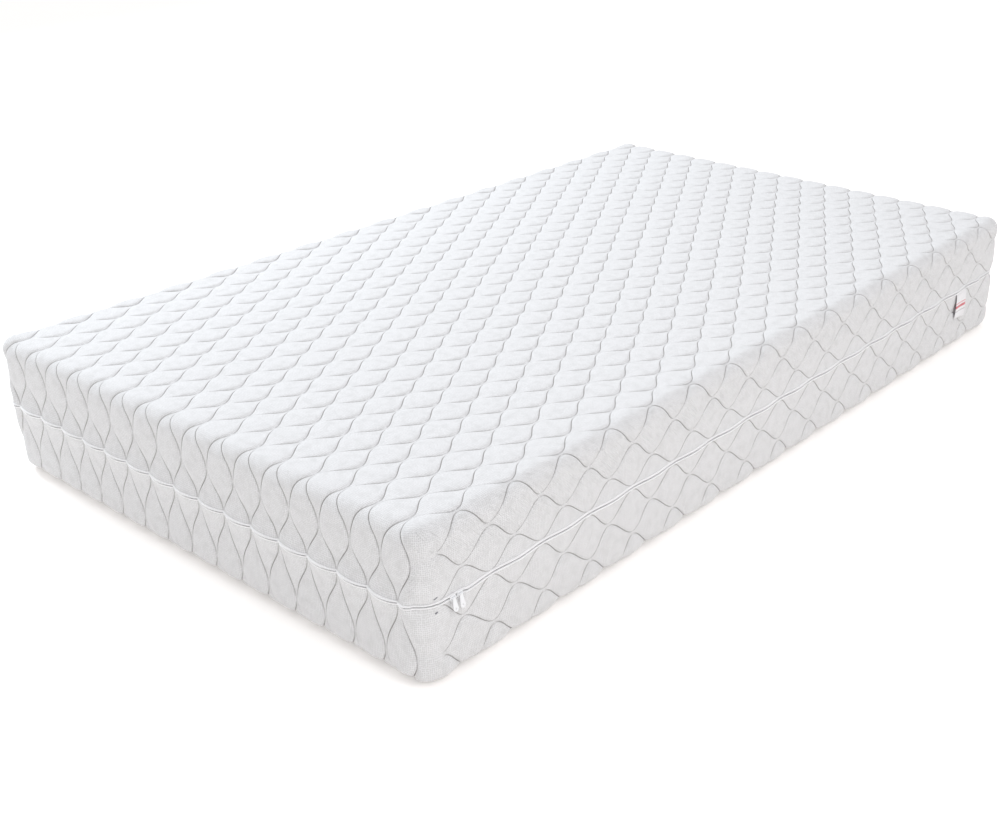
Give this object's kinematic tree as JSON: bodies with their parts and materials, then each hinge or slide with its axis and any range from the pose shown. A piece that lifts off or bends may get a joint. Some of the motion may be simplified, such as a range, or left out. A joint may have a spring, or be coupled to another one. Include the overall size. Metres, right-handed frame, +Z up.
{
  "type": "memory foam mattress",
  "caption": "Memory foam mattress: a layered foam core in a quilted knit cover whose halves zip together near mid height, with sliders near one corner.",
  "frame": {"origin": "centre of the underside, on the surface that the mattress lies on", "axes": "X across the width, with the sliders and the side label on the +X long side; Y along the length, from the foot end at -Y to the head end at +Y; Z up, from the underside to the sleeping surface"},
  "size_m": [1.207, 2, 0.286],
  "materials": {
    "cover_knit": "white double-jersey ticking with a fine pin-dot knit, quilted",
    "cover_wadding": "white polyester fibre wadding",
    "cover_backing": "thin white non-woven backing, quilted through",
    "support_foam": "pale blue open-cell cold foam",
    "transition_foam": "pale green open-cell foam",
    "memory_foam": "cream fine-celled memory foam",
    "zip_tape": "white woven polyester tape",
    "zip_coil": "white polyester coil",
    "slider_enamel": "zinc casting with white enamel",
    "label_satin": "white woven satin label with plain coloured bands",
    "bartack_thread": "grey polyester sewing thread"
  },
  "bodies": {
    "mattress": {"support_foam": "support_foam", "transition_foam": "transition_foam", "memory_foam": "memory_foam", "lower_cover_backing": "cover_backing", "lower_cover_wadding": "cover_wadding", "lower_cover_knit": "cover_knit", "zip_tape_lower": "zip_tape", "zip_coil_lower": "zip_coil", "bartacks_lower": "bartack_thread", "side_label": "label_satin"},
    "upper_cover": {"upper_cover_backing": "cover_backing", "upper_cover_wadding": "cover_wadding", "upper_cover_knit": "cover_knit", "zip_tape_upper": "zip_tape", "zip_coil_upper": "zip_coil", "bartacks_upper": "bartack_thread"},
    "slider_a": {"slider_a_body": "slider_enamel"},
    "pull_a": {"slider_a_pull": "slider_enamel"},
    "slider_b": {"slider_b_body": "slider_enamel"},
    "pull_b": {"slider_b_pull": "slider_enamel"}
  },
  "joints": [
    {"name": "upper_cover_lift", "type": "slide", "parent": "mattress", "child": "upper_cover", "axis": [0, 0, 1], "range_m": [0, 0.3]},
    {"name": "slider_a_travel", "type": "slide", "parent": "mattress", "child": "slider_a", "axis": [0, 1, 0], "range_m": [-0.013, 0]},
    {"name": "slider_b_travel", "type": "slide", "parent": "mattress", "child": "slider_b", "axis": [0, 1, 0], "range_m": [0, 1.513]},
    {"name": "pull_a_swing", "type": "hinge", "parent": "slider_a", "child": "pull_a", "pos_m": [0.6023, -0.932, 0.15], "axis": [0, -1, 0], "range_deg": [0, 155]},
    {"name": "pull_b_swing", "type": "hinge", "parent": "slider_b", "child": "pull_b", "pos_m": [0.6023, -0.917, 0.15], "axis": [0, -1, 0], "range_deg": [0, 155]}
  ]
}
